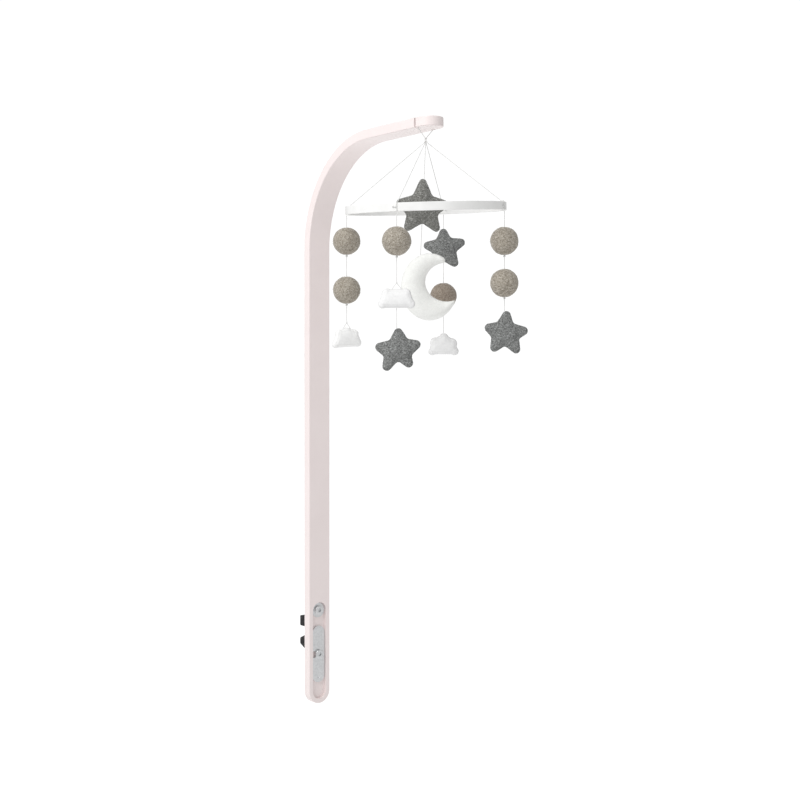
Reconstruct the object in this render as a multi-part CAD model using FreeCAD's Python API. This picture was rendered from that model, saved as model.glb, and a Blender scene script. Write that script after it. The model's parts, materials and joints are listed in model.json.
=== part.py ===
import FreeCAD, Part
import math
import os
from FreeCAD import Placement, Rotation, Vector

# A crib mobile: a bent-wood arm bolts to a crib rail and carries a ring of soft toys on cords.
# Millimetres. +Z is up, +X is the way the arm reaches over the crib, and Y runs along the rail.
# Everything is worked out from the pole's foot: x = 0 is the pole's inner face, y = 0 is its
# middle, and z = 0 is its lowest point. The pieces are then written from RAIL_FACE, the middle
# of the upper pad's face, which bears on the crib's rail.

# ---- driving dimensions ----
ARM_WIDTH = 42.5
ARM_THICK = 15.5
POLE_STRAIGHT = 778.4
BEND_INNER_R = 169.3
BEND_DEG = 88.8
ARM_REACH = 327.0
ARM_EDGE_R = 1.6
NOTCH_X = 295.5
NOTCH_WIDE = 4.2
NOTCH_DEEP = 7.0

POCKET_WIDE = 27.0
POCKET_DEEP = 6.0
POCKET_LOW_Z = 7.8
POCKET_HIGH_Z = 173.6
UPPER_BOLT_Z = 160.0
LOWER_BOLT_Z = 84.5
INSERT_R = 6.0
INSERT_LONG = 8.3
BOLT_R = 4.0
BOLT_RUNNING_GAP = 0.05
BOLT_HEAD_R = 7.7
BOLT_HEAD_TALL = 4.0
BOLT_TIP_X = -14.3
HEX_ACROSS_FLATS = 6.0
HEX_DEEP = 2.8
WASHER_R = 12.4
WASHER_THICK = 2.0
PLATE_LONG = 97.0
PLATE_WIDE = 25.0
PLATE_THICK = 3.0
PLATE_NOTCH_TALL = 11.0
DIMPLE_Z = 44.7

PAD_PROUD = 12.7
UPPER_PAD_Z = 141.5
UPPER_PAD_TALL = 17.6
LOWER_PAD_Z = 106.4
LOWER_PAD_TALL = 21.5

CORD_R = 0.6
BORE_R = 0.95
CORD_STANDOFF = 0.75
CORD_GAP = 0.8
LOOP_KNOT_Z = 934.6
GATHER_KNOT_Z = 930.4
CENTRE_LEAN_DEG = 2.6
KNOT_R = 2.0

RING_OUTER_R = 125.0
RING_THICK = 4.0
RING_TALL = 13.0
RING_Z = 826.5
RING_TIP_NEAR_DEG = 3.8
RING_TIP_LEFT_DEG = 1.6
RING_HOLE_R = 1.5
RING_HOLE_ASIDE_DEG = 2.5

TOY_TURN_DEG = 52.6
HANG_DEG = {"p1": 222.6, "p2": 302.0, "p3": 128.6, "p4": 34.0}
BALL_R = 21.8
BALL_HEIGHTS = {"p1": (777.8, 701.2), "p2": (767.6,), "p3": (695.5,), "p4": (773.3, 709.3)}

SMALL_STAR_R = 42.5
SMALL_STAR_THICK = 18.0
LARGE_STAR_R = 54.2
LARGE_STAR_THICK = 22.0
STAR_TIP_SHARE = {"star_p2": 0.16, "star_p3": 0.16, "star_p4": 0.16, "centre_star": 0.13}
STAR_CROTCH_SHARE = 0.118
CLOUD_THICK = 15.0
MOON_HALF_WIDE = 44.3
MOON_HALF_TALL = 52.3
MOON_THICK = 24.0
MOON_BITE = (26.7, 7.5)
MOON_BITE_HALF_WIDE = 33.2
MOON_BITE_HALF_TALL = 29.8
MOON_HORN_TIPS = ((24.5, 1, 2.6), (39.5, -1, 1.7))
MOON_ASIDE = 13.9
FELT_THICK = 1.3
FILL_GAP = 0.1
HANGER_TALL = 8.5
HANGER_HALF_WIDE = 8.0
HANGER_R = 0.5

# Where each flat toy hangs: its middle's height, and how far it is turned on its cord.
STARS = {
    "star_p2": ("p2", 607.8, 0.0),
    "star_p3": ("p3", 774.4, 0.0),
    "star_p4": ("p4", 633.9, 0.0),
    "centre_star": ("centre", 826.6, 25.0),
}
CLOUDS = {
    "cloud_p1": ("p1", 626.2, 31.0),
    "cloud_p2": ("p2", 683.2, 0.0),
    "cloud_p3": ("p3", 616.8, 0.0),
}
MOON_Z = 705.1

# The stars are cut by hand. Each arm has its direction, in degrees, and its length, and then the
# direction and distance of the inner corner after it. The lengths are shares of the star's radius,
# and so are the radii of its round tips and inner corners.
STAR_ARMS = {
    "star_p2": ((16, 1.05, 46, 0.54), (87, 0.91, 127, 0.42), (170, 0.95, 206, 0.51), (242, 1.18, 277, 0.4),
                (308, 1.05, 340, 0.56)),
    "star_p3": ((17, 1.12, 54, 0.48), (91, 0.93, 131, 0.44), (173, 1.05, 205, 0.47), (236, 0.89, 270, 0.53),
                (306, 1.09, 343, 0.52)),
    "star_p4": ((6, 1.08, 45, 0.47), (83, 1.01, 123, 0.46), (162, 0.9, 199, 0.5), (237, 1.0, 273, 0.49),
                (303, 1.15, 337, 0.58)),
    "centre_star": ((12, 1.0, 50, 0.49), (89, 1.02, 130, 0.49), (170, 1.0, 200, 0.54), (230, 1.03, 269, 0.43),
                    (308, 1.0, 340, 0.51)),
}

# Each cloud is round lobes, as x, z and radius about its middle, in order round its edge.
CLOUD_LOBES = {
    "cloud_p1": ((-19.5, -10, 6.5), (-12.5, 5, 8.5), (0, 7, 9.5), (12.5, 5.5, 8.3), (19.3, -7.5, 6.8)),
    "cloud_p2": ((-20.5, -8, 7), (-14, 6.3, 8.5), (13, 6.3, 8.5), (20.5, -8, 7)),
    "cloud_p3": ((-18.5, -12, 6.5), (-13, 2.5, 9), (0.5, 9.5, 8.5), (13, 0.5, 9.5), (18, -11.5, 7)),
}

# How deep the valleys between a cloud's lobes are.
CLOUD_VALLEY = {"cloud_p1": 0.8, "cloud_p2": 0.8, "cloud_p3": 2.4}

UP = Vector(0, 0, 1)
RAIL_FACE = Vector(-ARM_THICK - PAD_PROUD, 0, UPPER_PAD_Z)
bend = math.radians(BEND_DEG)
ARM_ALONG = Vector(math.sin(bend), 0, math.cos(bend))
ARM_UP = Vector(-math.cos(bend), 0, math.sin(bend))
HUB = Vector(NOTCH_X, 0, 0)


def save(node, *solids):
    """Writes one named piece; several solids make a group of identical small pieces."""
    shape = solids[0] if len(solids) == 1 else Part.makeCompound(solids)
    shape = shape.translated(-RAIL_FACE)
    shape.exportStep("parts/" + node + ".step")


def rod(start, end, radius):
    """A round bar with flat ends from one point to another."""
    along = end - start
    return Part.makeCylinder(radius, along.Length, start, along)


def ball(centre, radius):
    return Part.makeSphere(radius, centre)


def obround(low_z, high_z, wide, back_x, front_x):
    """A flat bar with full-round ends, standing on end."""
    r = wide / 2
    thick = front_x - back_x
    body = Part.makeBox(thick, wide, high_z - low_z - wide, Vector(back_x, -r, low_z + r))
    for z in (low_z + r, high_z - r):
        body = body.fuse(Part.makeCylinder(r, thick, Vector(back_x, 0, z), Vector(1, 0, 0)))
    return body.removeSplitter()


# ---- the arm ----
def arm_point(side, turn):
    """A point of the bend, on the face that far from the bend's centre, after a turn."""
    centre = Vector(BEND_INNER_R, 0, POLE_STRAIGHT)
    return centre + Vector(-math.cos(turn), 0, math.sin(turn)) * side


def arm_end(side):
    """Where a face of the arm ends, squarely, at its full reach."""
    start = arm_point(side, bend)
    inner = arm_point(BEND_INNER_R, bend)
    return start + ARM_ALONG * ((ARM_REACH - inner.x) / ARM_ALONG.x)


def arm_profile():
    """The side view of the band: pole, bend and arm, between its inner and outer faces."""
    outer_r = BEND_INNER_R + ARM_THICK
    foot_in = Vector(0, 0, 0)
    foot_out = Vector(-ARM_THICK, 0, 0)
    edges = [
        Part.makeLine(foot_in, arm_point(BEND_INNER_R, 0)),
        Part.Arc(*(arm_point(BEND_INNER_R, bend * t) for t in (0, 0.5, 1))).toShape(),
        Part.makeLine(arm_point(BEND_INNER_R, bend), arm_end(BEND_INNER_R)),
        Part.makeLine(arm_end(BEND_INNER_R), arm_end(outer_r)),
        Part.makeLine(arm_end(outer_r), arm_point(outer_r, bend)),
        Part.Arc(*(arm_point(outer_r, bend * t) for t in (1, 0.5, 0))).toShape(),
        Part.makeLine(arm_point(outer_r, 0), foot_out),
        Part.makeLine(foot_out, foot_in),
    ]
    return Part.Face(Part.Wire(edges))


def end_corners():
    """What is cut from a square end to leave it fully round, at the origin, pointing along -Z."""
    r = ARM_WIDTH / 2
    block = Part.makeBox(ARM_THICK + 4, ARM_WIDTH + 4, r + 2, Vector(-ARM_THICK - 2, -r - 2, -2))
    return block.cut(Part.makeCylinder(r, ARM_THICK + 8, Vector(-ARM_THICK - 4, 0, r), Vector(1, 0, 0)))


def long_edges(band):
    """The band's edges that run along it, rather than through its thickness."""
    across = ARM_THICK + 0.1
    return [e for e in band.Edges if e.Length > across]


def notch_frame():
    """The middle of the arm's section at the notches, as a placement with Z square to the arm."""
    inner = arm_point(BEND_INNER_R, bend)
    along = (NOTCH_X - inner.x) / ARM_ALONG.x
    middle = inner + ARM_ALONG * along + ARM_UP * (ARM_THICK / 2)
    return Placement(middle, Rotation(Vector(0, 1, 0), BEND_DEG - 90))


def make_arm():
    band = arm_profile().extrude(Vector(0, ARM_WIDTH, 0))
    band.translate(Vector(0, -ARM_WIDTH / 2, 0))
    band = band.cut(end_corners())
    tip = end_corners()
    tip.Placement = Placement(arm_end(BEND_INNER_R + ARM_THICK), Rotation(Vector(0, 1, 0), 180 + BEND_DEG))
    band = band.cut(tip)
    band = band.makeFillet(ARM_EDGE_R, long_edges(band))
    band = band.cut(obround(POCKET_LOW_Z, POCKET_HIGH_Z, POCKET_WIDE, -POCKET_DEEP, 2))
    for z in (UPPER_BOLT_Z, LOWER_BOLT_Z):
        hole = Part.makeCylinder(INSERT_R + BOLT_RUNNING_GAP, INSERT_LONG + 0.2,
                                 Vector(-POCKET_DEEP - INSERT_LONG - 0.2, 0, z), Vector(1, 0, 0))
        band = band.cut(hole)
    for side in (-1, 1):
        middle = side * (ARM_WIDTH / 2 - NOTCH_DEEP / 2 + 1)
        cutter = Part.makeBox(NOTCH_WIDE, NOTCH_DEEP + 2, ARM_THICK * 2,
                              Vector(-NOTCH_WIDE / 2, middle - NOTCH_DEEP / 2 - 1, -ARM_THICK))
        cutter.Placement = notch_frame()
        band = band.cut(cutter)
    save("arm", band)


# ---- the clamp hardware in the pocket, and the pads behind it ----
def make_insert(node, z):
    back = Vector(-POCKET_DEEP - INSERT_LONG - 0.1, 0, z)
    sleeve = Part.makeCylinder(INSERT_R, INSERT_LONG, back, Vector(1, 0, 0))
    save(node, sleeve.cut(Part.makeCylinder(BOLT_R, INSERT_LONG * 2, back - Vector(1, 0, 0), Vector(1, 0, 0))))


def hex_socket(front_x, z):
    """The socket's six-sided pocket, cut from the head's front face."""
    corner = HEX_ACROSS_FLATS / math.sqrt(3)
    points = [Vector(front_x - HEX_DEEP, corner * math.cos(math.radians(60 * i)),
                     z + corner * math.sin(math.radians(60 * i))) for i in range(6)]
    return Part.Face(Part.makePolygon(points + points[:1])).extrude(Vector(HEX_DEEP + 1, 0, 0))


def make_bolt(node, seat_x, z):
    """A socket-head bolt with its head on seat_x and its shank in the insert."""
    head = Part.makeCylinder(BOLT_HEAD_R, BOLT_HEAD_TALL, Vector(seat_x, 0, z), Vector(1, 0, 0))
    rim = [e for e in head.Edges if abs(e.CenterOfMass.x - seat_x - BOLT_HEAD_TALL) < 0.1]
    head = head.makeFillet(1.0, rim)
    shank = rod(Vector(BOLT_TIP_X, 0, z), Vector(seat_x + 0.5, 0, z), BOLT_R - BOLT_RUNNING_GAP)
    save(node, head.fuse(shank).cut(hex_socket(seat_x + BOLT_HEAD_TALL, z)).removeSplitter())


def make_washer():
    seat = Vector(-POCKET_DEEP, 0, UPPER_BOLT_Z)
    front = seat + Vector(WASHER_THICK, 0, 0)
    disc = rod(seat, front, WASHER_R)
    save("upper_washer", disc.cut(rod(seat, front, BOLT_R + BOLT_RUNNING_GAP)))


def make_clamp_plate():
    """A long plate with a hole for its bolt, open at one side, and a dimple near its lower end."""
    front = -POCKET_DEEP + PLATE_THICK
    half = PLATE_LONG / 2
    plate = obround(LOWER_BOLT_Z - half, LOWER_BOLT_Z + half, PLATE_WIDE, -POCKET_DEEP, front)
    slot = Part.makeBox(9, PLATE_WIDE, PLATE_NOTCH_TALL,
                        Vector(-POCKET_DEEP - 2, -PLATE_WIDE - BOLT_HEAD_R + 1, LOWER_BOLT_Z - PLATE_NOTCH_TALL / 2))
    hole = rod(Vector(-POCKET_DEEP - 1, 0, LOWER_BOLT_Z), Vector(1, 0, LOWER_BOLT_Z), BOLT_R + BOLT_RUNNING_GAP)
    dimple = ball(Vector(front + 1.2, 0, DIMPLE_Z), 2.3)
    save("clamp_plate", plate.cut(slot).cut(hole).cut(dimple))


def make_pads():
    """Two rubber blocks glued across the pole's back, which bear on the crib's rail."""
    back = -ARM_THICK - PAD_PROUD
    upper = Part.makeBox(PAD_PROUD, ARM_WIDTH, UPPER_PAD_TALL,
                         Vector(back, -ARM_WIDTH / 2, UPPER_PAD_Z - UPPER_PAD_TALL / 2))
    corners = [e for e in upper.Edges if e.Length > ARM_WIDTH - 1 and e.CenterOfMass.x < back + 1]
    save("upper_rail_pad", upper.makeFillet(2.5, corners))
    half = LOWER_PAD_TALL / 2
    outline = [(0, -half), (-PAD_PROUD, -half * 0.45), (-PAD_PROUD, half * 0.45), (0, half), (0, -half)]
    points = [Vector(-ARM_THICK + x, -ARM_WIDTH / 2, LOWER_PAD_Z + z) for x, z in outline]
    lower = Part.Face(Part.makePolygon(points)).extrude(Vector(0, ARM_WIDTH, 0))
    corners = [e for e in lower.Edges if e.Length > ARM_WIDTH - 1 and e.CenterOfMass.x < back + 1]
    save("lower_rail_pad", lower.makeFillet(3.0, corners))


# ---- the loop over the arm and its knots ----
def loop_over_arm():
    """The cord's stretch that the arm holds: up one notch, over the arm and down the other."""
    side = ARM_WIDTH / 2 - NOTCH_DEEP + CORD_STANDOFF
    top = ARM_THICK / 2 + CORD_STANDOFF
    low = -ARM_THICK / 2
    turn = 1.1
    slant = turn * (1 - math.sqrt(0.5))
    at = notch_frame()

    def place(y, z):
        return at.multVec(Vector(0, y, z))

    edges = [
        Part.makeLine(place(-side, low), place(-side, top - turn)),
        Part.Arc(place(-side, top - turn), place(-side + slant, top - slant), place(-side + turn, top)).toShape(),
        Part.makeLine(place(-side + turn, top), place(side - turn, top)),
        Part.Arc(place(side - turn, top), place(side - slant, top - slant), place(side, top - turn)).toShape(),
        Part.makeLine(place(side, top - turn), place(side, low)),
    ]
    spine = Part.Wire(edges)
    section = Part.Wire(Part.makeCircle(CORD_R, place(-side, low), at.Rotation.multVec(UP)))
    save("loop_over_arm", spine.makePipeShell([section], True, False))
    print("loop over the arm", round(spine.Length, 1))


def loop_exit(side):
    """Where the loop leaves a notch, at the arm's underside."""
    across = ARM_WIDTH / 2 - NOTCH_DEEP + CORD_STANDOFF
    return notch_frame().multVec(Vector(0, side * across, -ARM_THICK / 2))


def make_loop_legs():
    knot = HUB + UP * LOOP_KNOT_Z
    for node, side in (("near_loop_leg", -1), ("far_loop_leg", 1)):
        top = loop_exit(side)
        along = (knot - top).normalize()
        save(node, rod(top + along * CORD_GAP, knot - along * KNOT_R, CORD_R))
        print(node, round((knot - top).Length, 1))
    save("loop_knot", ball(knot, KNOT_R - 0.2))
    save("gathering_knot", ball(HUB + UP * GATHER_KNOT_Z, KNOT_R))


# ---- the ring, its hitches and its suspension cords ----
def toy_direction(turn_deg):
    turn = math.radians(turn_deg)
    return Vector(math.cos(turn), math.sin(turn), 0)


def ring_frame():
    """The ring hangs a little out of level: its -Y side and its far -X side sit lower."""
    right = toy_direction(TOY_TURN_DEG)
    away = toy_direction(TOY_TURN_DEG + 90)
    tip = Rotation(right, RING_TIP_NEAR_DEG).multiply(Rotation(away, -RING_TIP_LEFT_DEG))
    return Placement(Vector(NOTCH_X, 0, RING_Z), tip)


def hang_point(name, height):
    """A point on the cord that lies down the band's outside, at a height from its middle."""
    out = toy_direction(HANG_DEG[name]) * (RING_OUTER_R + CORD_R + 0.1)
    return ring_frame().multVec(out + UP * height)


def band_point(name, radius, height, aside_deg=0.0):
    """A point by a cord's place on the ring, at a radius from its axis and a height from its middle."""
    out = toy_direction(HANG_DEG[name] + aside_deg) * radius
    return ring_frame().multVec(out + UP * height)


def ring_hole(name):
    inner = band_point(name, RING_OUTER_R - RING_THICK - 1, 0, -RING_HOLE_ASIDE_DEG)
    outer = band_point(name, RING_OUTER_R + 1, 0, -RING_HOLE_ASIDE_DEG)
    return rod(inner, outer, RING_HOLE_R)


def make_ring():
    outer = Part.makeCylinder(RING_OUTER_R, RING_TALL, Vector(0, 0, -RING_TALL / 2))
    inner = Part.makeCylinder(RING_OUTER_R - RING_THICK, RING_TALL + 2, Vector(0, 0, -RING_TALL / 2 - 1))
    band = outer.cut(inner)
    band = band.makeFillet(0.9, [e for e in band.Edges if e.Length > 100])
    band.Placement = ring_frame()
    for name in HANG_DEG:
        band = band.cut(ring_hole(name))
    save("ring", band)


def over_edge(name):
    """Where a suspension cord comes over the ring's inner edge."""
    return band_point(name, RING_OUTER_R - RING_THICK + 0.4, RING_TALL / 2 + CORD_R + 0.1)


def make_hitch(name):
    """The cord over the band's edge and down its outside, its tail through a hole and the knot inside."""
    half = RING_TALL / 2
    corner = hang_point(name, half + CORD_R + 0.1)
    strand = rod(hang_point(name, -half + 0.6), corner, CORD_R)
    over = rod(corner, over_edge(name), CORD_R)
    outside = band_point(name, RING_OUTER_R + CORD_R + 0.1, 0, -RING_HOLE_ASIDE_DEG)
    inside = band_point(name, RING_OUTER_R - RING_THICK - 0.9, 0, -RING_HOLE_ASIDE_DEG)
    tail = rod(hang_point(name, 0), outside, CORD_R).fuse(rod(outside, inside, CORD_R))
    joints = ball(corner, CORD_R).fuse(ball(outside, CORD_R))
    return strand.fuse([over, tail, joints, ball(inside, 1.8)]).removeSplitter()


def make_suspension(name):
    """One straight cord from the gathering knot to the ring's upper edge."""
    knot = HUB + UP * GATHER_KNOT_Z
    low = over_edge(name)
    along = (low - knot).normalize()
    save("suspension_" + name, rod(knot + along * (KNOT_R + 0.3), low - along * CORD_GAP * 1.5, CORD_R))
    print("suspension", name, round((low - knot).Length, 1))


# ---- the hanging cords and their balls ----
def cord_at(name, z):
    """Where a hanging cord runs at a height. The centre cord leans a little."""
    if name == "centre":
        aside = (GATHER_KNOT_Z - z) * math.tan(math.radians(CENTRE_LEAN_DEG))
        return HUB - toy_direction(TOY_TURN_DEG) * aside + UP * z
    foot = hang_point(name, -RING_TALL / 2)
    return Vector(foot.x, foot.y, z)


def cord_top(name):
    if name == "centre":
        return GATHER_KNOT_Z - KNOT_R - 0.3
    return hang_point(name, -RING_TALL / 2).z - 0.3


def under_cord(solid):
    """The lowest and highest points of a toy on its own cord's line, from its middle."""
    needle = Part.makeBox(0.4, 1, 200, Vector(-0.2, -0.5, -100))
    box = solid.common(needle).BoundBox
    return box.ZMin, box.ZMax


def star_top(node):
    return under_cord(star_solid(node, SMALL_STAR_R, SMALL_STAR_THICK))[1]


def cloud_top(node):
    return under_cord(cloud_solid(node, CLOUD_THICK))[1]


def cloud_low(node):
    return under_cord(cloud_solid(node, CLOUD_THICK))[0]


def apex(node):
    """The top of a cloud's thread hanger."""
    return CLOUDS[node][1] + cloud_top(node) + HANGER_TALL


def cord_foot(name):
    ends = {
        "p1": apex("cloud_p1") + 1.0,
        "p2": apex("cloud_p2") + 1.0,
        "p3": CLOUDS["cloud_p3"][1] + cloud_top("cloud_p3") + 0.3,
        "p4": STARS["star_p4"][1] + star_top("star_p4") + 0.3,
        "centre": MOON_Z + MOON_HALF_TALL * math.sqrt(1 - (MOON_ASIDE / MOON_HALF_WIDE) ** 2) + 0.3,
    }
    return ends[name]


def make_hanging_cord(name):
    top = cord_at(name, cord_top(name))
    foot = cord_at(name, cord_foot(name))
    save("cord_" + name, rod(foot, top, CORD_R))
    print("cord", name, round((top - foot).Length, 1))


def bored(solid, name):
    """A solid with a fine hole right down a cord's line."""
    return solid.cut(rod(cord_at(name, 0), cord_at(name, GATHER_KNOT_Z), BORE_R))


def make_balls():
    for name, heights in BALL_HEIGHTS.items():
        for number, z in enumerate(heights, 1):
            save("ball_" + name + "_" + str(number), bored(ball(cord_at(name, z), BALL_R), name))


def stop_knots(name, heights):
    """The knots that hold the balls up, each with a hole for its cord."""
    save("knots_" + name, *(bored(ball(cord_at(name, z), 1.7), name) for z in heights))


# ---- flat stuffed toys: a felt cover sewn round its edge, and the stuffing inside ----
def toy_frame(name, z, turn_deg):
    """A toy's own frame: X across its face, Y through its thickness and Z up."""
    return Placement(cord_at(name, z), Rotation(UP, TOY_TURN_DEG + turn_deg))


def star_solid(node, star_r, thick):
    """A star with round tips and soft inner corners, from its arms' directions and lengths."""
    points = []
    for angle, long, waist_angle, waist in STAR_ARMS[node]:
        for turn_deg, reach in ((angle, long), (waist_angle, waist)):
            turn = math.radians(turn_deg)
            points.append(Vector(math.cos(turn), 0, math.sin(turn)) * star_r * reach)
    face = Part.Face(Part.makePolygon(points + points[:1]))
    solid = face.extrude(Vector(0, thick, 0)).translated(Vector(0, -thick / 2, 0))
    tips = [e for e in through_edges(solid, thick) if from_axis(e) > star_r * 0.85]
    solid = solid.makeFillet(STAR_TIP_SHARE[node] * star_r, tips)
    crotches = [e for e in through_edges(solid, thick) if from_axis(e) < star_r * 0.6]
    return solid.makeFillet(STAR_CROTCH_SHARE * star_r, crotches)


def through_edges(solid, thick):
    """The edges that run straight through a flat toy's thickness."""
    return [e for e in solid.Edges if abs(e.Length - thick) < 0.01 and abs(e.tangentAt(0).y) > 0.9]


def from_axis(edge):
    return math.hypot(edge.CenterOfMass.x, edge.CenterOfMass.z)


def cloud_web(one, two, thick, inset):
    """The flat bar between two neighbouring lobes, inset from the line over both."""
    a = Vector(one[0], -thick / 2, one[1])
    b = Vector(two[0], -thick / 2, two[1])
    square = (b - a).cross(Vector(0, 1, 0)).normalize()
    ra = one[2] - inset
    rb = two[2] - inset
    corners = [a + square * ra, b + square * rb, b - square * rb, a - square * ra]
    return Part.Face(Part.makePolygon(corners + corners[:1])).extrude(Vector(0, thick, 0))


def cloud_solid(node, thick, inset=0.0):
    """Round lobes, the bars that join each to the next, and the flat body through their middles."""
    lobes = CLOUD_LOBES[node]
    middles = [Vector(x, -thick / 2, z) for x, z, r in lobes]
    solid = Part.Face(Part.makePolygon(middles + middles[:1])).extrude(Vector(0, thick, 0))
    for i, (x, z, r) in enumerate(lobes):
        lobe = Part.makeCylinder(r - inset, thick, Vector(x, -thick / 2, z), Vector(0, 1, 0))
        web = cloud_web(lobes[i - 1], lobes[i], thick, inset + CLOUD_VALLEY[node])
        solid = solid.fuse([lobe, web])
    return solid.removeSplitter()


def oval(half_wide, half_tall, thick):
    """A flat oval on edge, about the origin, through a thickness along Y."""
    disc = Part.makeCylinder(1.0, thick, Vector(0, 0, -thick / 2))
    stretch = FreeCAD.Matrix()
    stretch.scale(half_wide, half_tall, 1.0)
    disc = disc.transformGeometry(stretch)
    disc.Placement = Placement(Vector(0, 0, 0), Rotation(Vector(1, 0, 0), 90))
    return disc


def moon_solid(thick, inset=0.0):
    """A crescent: a tall oval with an oval bite out of its side, and two blunt horns."""
    x, z = MOON_BITE
    bite = oval(MOON_BITE_HALF_WIDE + inset, MOON_BITE_HALF_TALL + inset, thick * 2)
    moon = oval(MOON_HALF_WIDE - inset, MOON_HALF_TALL - inset, thick).cut(bite.translated(Vector(x, 0, z)))
    for tip, side, tip_r in MOON_HORN_TIPS:
        low = z if side > 0 else z - MOON_HALF_TALL * 2
        end = Part.makeBox(MOON_HALF_WIDE, thick * 2, MOON_HALF_TALL * 2, Vector(tip - inset, -thick, low))
        moon = moon.cut(end)
        corners = [e for e in through_edges(moon, thick) if abs(e.CenterOfMass.x - tip + inset) < 0.01]
        moon = moon.makeFillet(tip_r - inset, corners)
    return moon


def save_stuffed(node, outer, inner, filling, place, pierced_by=None):
    """Writes a toy's hollow cover and its stuffing; a cord that runs through them bores both."""
    for solid in (outer, inner, filling):
        solid.Placement = place.multiply(solid.Placement)
    cover = outer.cut(inner)
    if pierced_by:
        cover = bored(cover, pierced_by)
        filling = bored(filling, pierced_by)
    save(node + "_cover", cover)
    save(node + "_stuffing", filling)


def make_star(node, star_r, thick, pierced):
    name, z, turn = STARS[node]
    skin = FELT_THICK
    save_stuffed(
        node,
        star_solid(node, star_r, thick),
        star_solid(node, star_r - 1.6 * skin, thick - 2 * skin),
        star_solid(node, star_r - 1.6 * (skin + FILL_GAP), thick - 2 * (skin + FILL_GAP)),
        toy_frame(name, z, turn),
        name if pierced else None,
    )


def make_cloud(node):
    name, z, turn = CLOUDS[node]
    skin = FELT_THICK
    save_stuffed(
        node,
        cloud_solid(node, CLOUD_THICK),
        cloud_solid(node, CLOUD_THICK - 2 * skin, skin),
        cloud_solid(node, CLOUD_THICK - 2 * (skin + FILL_GAP), skin + FILL_GAP),
        toy_frame(name, z, turn),
    )


def make_hanger(node):
    """A thread from a cloud's top, up to the cord's end knot and back down."""
    name, z, turn = CLOUDS[node]
    top = cloud_top(node)
    place = toy_frame(name, z, turn)
    peak = Vector(0, 0, top + HANGER_TALL)
    legs = []
    for side in (-1, 1):
        foot = Vector(side * HANGER_HALF_WIDE, 0, top - 2.5)
        along = (foot - peak).normalize()
        legs.append(rod(peak, foot, HANGER_R))
    hanger = ball(peak, HANGER_R * 1.6).fuse(legs)
    hanger.Placement = place.multiply(hanger.Placement)
    save(node + "_hanger", hanger.cut(toy_blank(node, place)))


def toy_blank(node, place):
    """A cloud's outer shape, in place."""
    blank = cloud_solid(node, CLOUD_THICK)
    blank.Placement = place.multiply(blank.Placement)
    return blank


def make_moon():
    hung = cord_at("centre", cord_foot("centre"))
    across = toy_direction(TOY_TURN_DEG) * MOON_ASIDE
    place = Placement(Vector(hung.x, hung.y, MOON_Z) + across, Rotation(UP, TOY_TURN_DEG))
    skin = FELT_THICK
    save_stuffed(
        "moon",
        moon_solid(MOON_THICK),
        moon_solid(MOON_THICK - 2 * skin, skin),
        moon_solid(MOON_THICK - 2 * (skin + FILL_GAP), skin + FILL_GAP),
        place,
    )


def make_lower_cord():
    """The cord that carries the star under the middle cloud."""
    top = CLOUDS["cloud_p2"][1] + cloud_low("cloud_p2")
    foot = STARS["star_p2"][1] + star_top("star_p2") + 0.3
    save("cord_p2_lower", rod(cord_at("p2", foot), cord_at("p2", top), CORD_R))
    print("cord p2 lower", round(top - foot, 1))


def make_hardware():
    make_insert("upper_insert", UPPER_BOLT_Z)
    make_insert("lower_insert", LOWER_BOLT_Z)
    make_washer()
    make_clamp_plate()
    make_bolt("upper_bolt", -POCKET_DEEP + WASHER_THICK, UPPER_BOLT_Z)
    make_bolt("lower_bolt", -POCKET_DEEP + PLATE_THICK, LOWER_BOLT_Z)
    make_pads()


def make_cords():
    loop_over_arm()
    make_loop_legs()
    for name in HANG_DEG:
        make_suspension(name)
        make_hanging_cord(name)
    make_hanging_cord("centre")
    make_lower_cord()
    for name, heights in BALL_HEIGHTS.items():
        stop_knots(name, [z - BALL_R - 1.5 for z in heights])
    save("ring_hitches", *(make_hitch(name) for name in HANG_DEG))


def make_toys():
    make_balls()
    make_star("star_p2", SMALL_STAR_R, SMALL_STAR_THICK, False)
    make_star("star_p3", SMALL_STAR_R, SMALL_STAR_THICK, True)
    make_star("star_p4", SMALL_STAR_R, SMALL_STAR_THICK, False)
    make_star("centre_star", LARGE_STAR_R, LARGE_STAR_THICK, True)
    for node in CLOUDS:
        make_cloud(node)
    make_hanger("cloud_p1")
    make_hanger("cloud_p2")
    make_moon()


os.makedirs("parts", exist_ok=True)
make_arm()
make_hardware()
make_ring()
make_cords()
make_toys()
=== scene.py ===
import json
import math
import random

import bmesh
import bpy
from mathutils import Matrix, Quaternion, Vector, noise
from mathutils.geometry import delaunay_2d_cdt
from mathutils.kdtree import KDTree


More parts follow.
